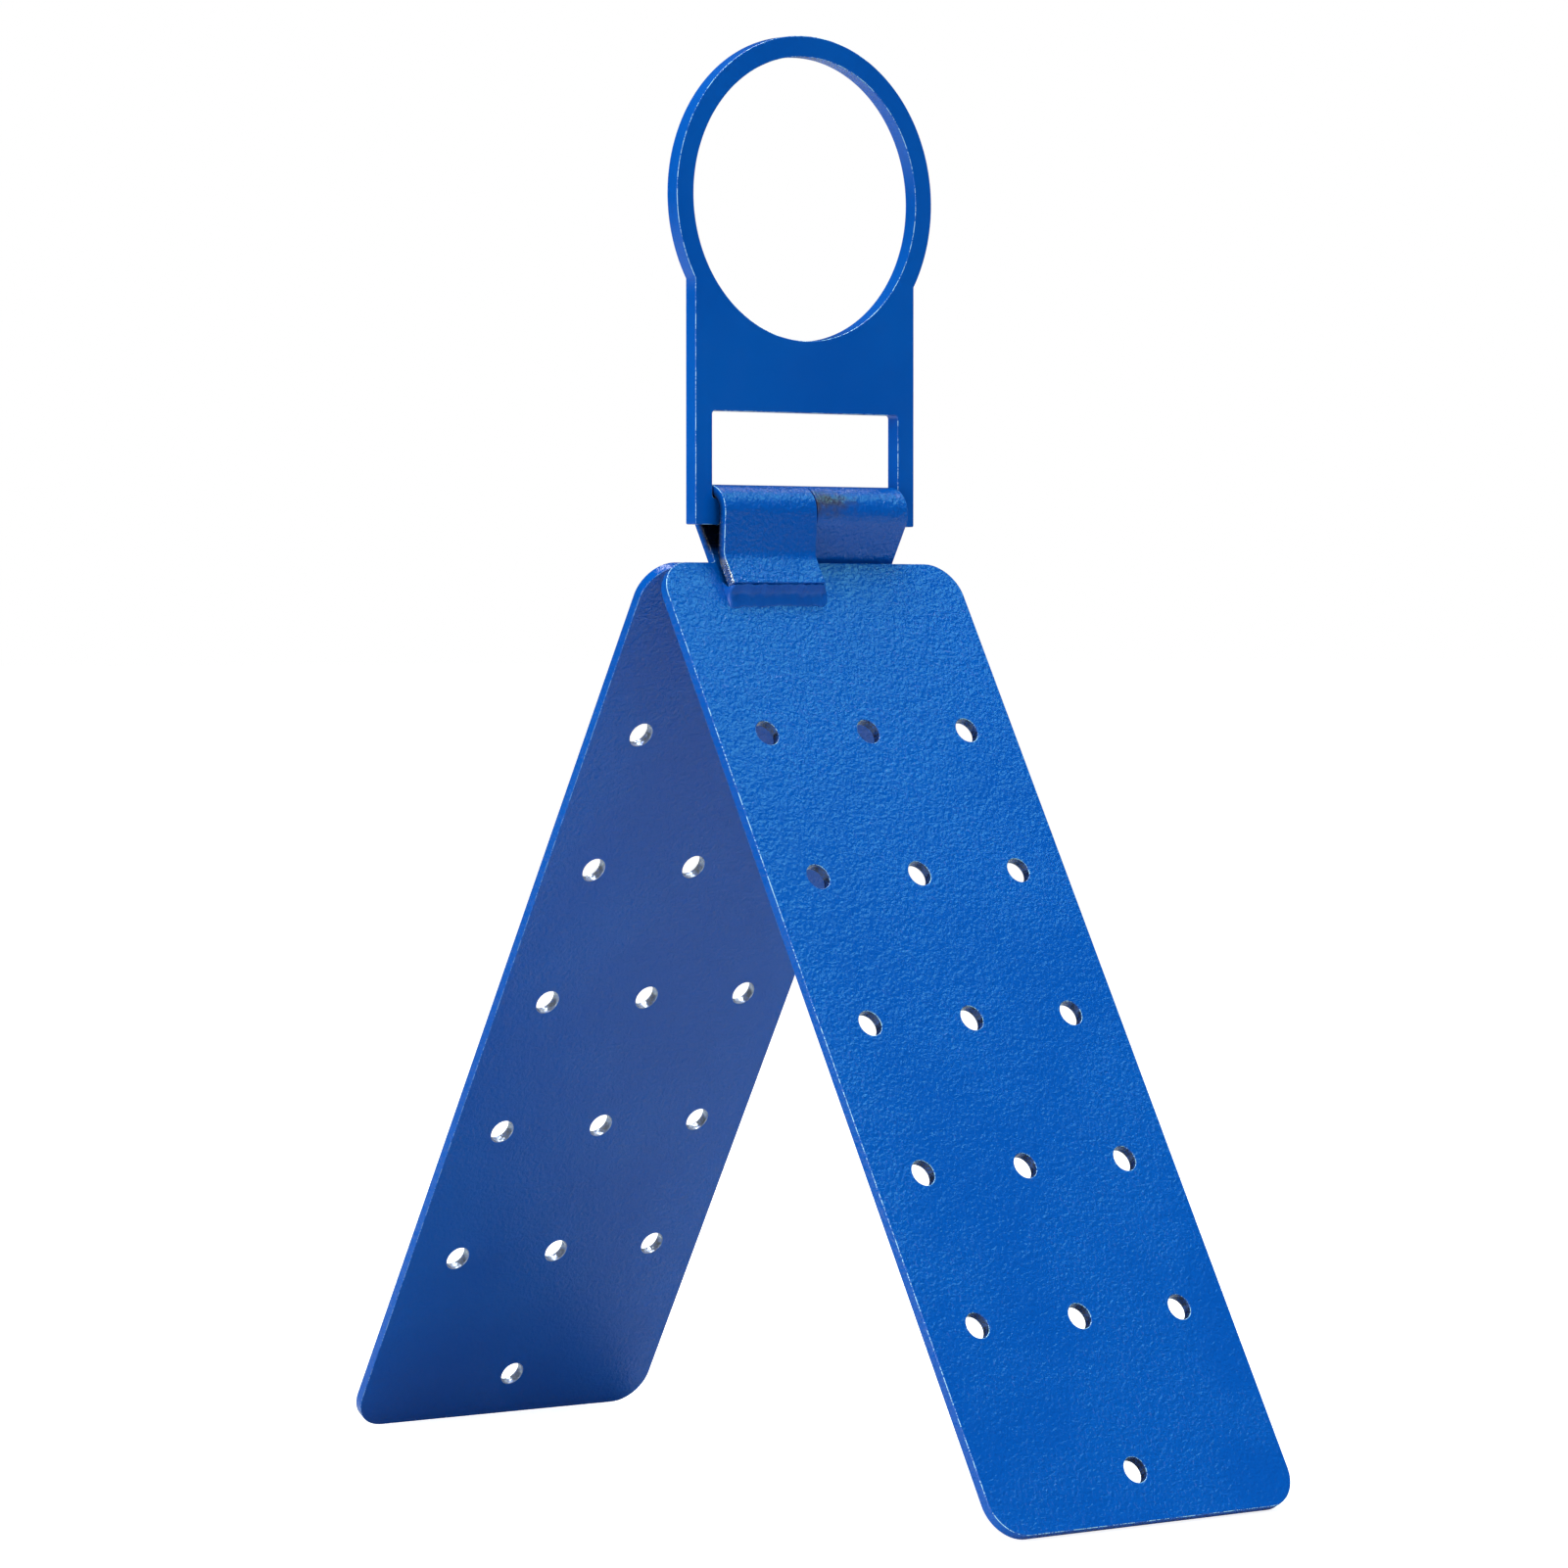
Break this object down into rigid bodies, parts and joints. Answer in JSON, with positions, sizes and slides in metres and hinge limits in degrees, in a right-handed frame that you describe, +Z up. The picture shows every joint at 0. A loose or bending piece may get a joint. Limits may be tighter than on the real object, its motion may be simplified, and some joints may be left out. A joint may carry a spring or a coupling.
{
  "type": "roof anchor",
  "caption": "Hinged roof anchor: a ring plate with a round eye, whose bottom bar is the pin of drilled leg plates that straddle a roof ridge.",
  "frame": {"origin": "centre of the bounding box at the level the feet stand on", "axes": "+Z up from the feet to the eye, +X along the hinge; the front leg leans to -Y and the rear leg to +Y"},
  "size_m": [0.1016, 0.2854, 0.3852],
  "materials": {
    "ring_coat": "smooth semi-gloss blue powder coat",
    "leg_coat": "semi-gloss blue powder coat with an orange-peel surface, worn bright along its edges",
    "weld_coat": "blue powder coat over a rippled weld bead"
  },
  "bodies": {
    "front_leg": {"front_leg_plate": "leg_coat", "front_loop_weld": "weld_coat"},
    "rear_leg": {"rear_leg_plate": "leg_coat", "rear_loop_weld": "weld_coat"},
    "ring": {"ring_plate": "ring_coat"}
  },
  "joints": [
    {"name": "rear_leg_hinge", "type": "hinge", "parent": "front_leg", "child": "rear_leg", "pos_m": [0, 0, 0.25734], "axis": [1, 0, 0], "range_deg": [0, 120]},
    {"name": "ring_hinge", "type": "hinge", "parent": "front_leg", "child": "ring", "pos_m": [0, 0, 0.25734], "axis": [1, 0, 0], "range_deg": [-30, 150]}
  ]
}
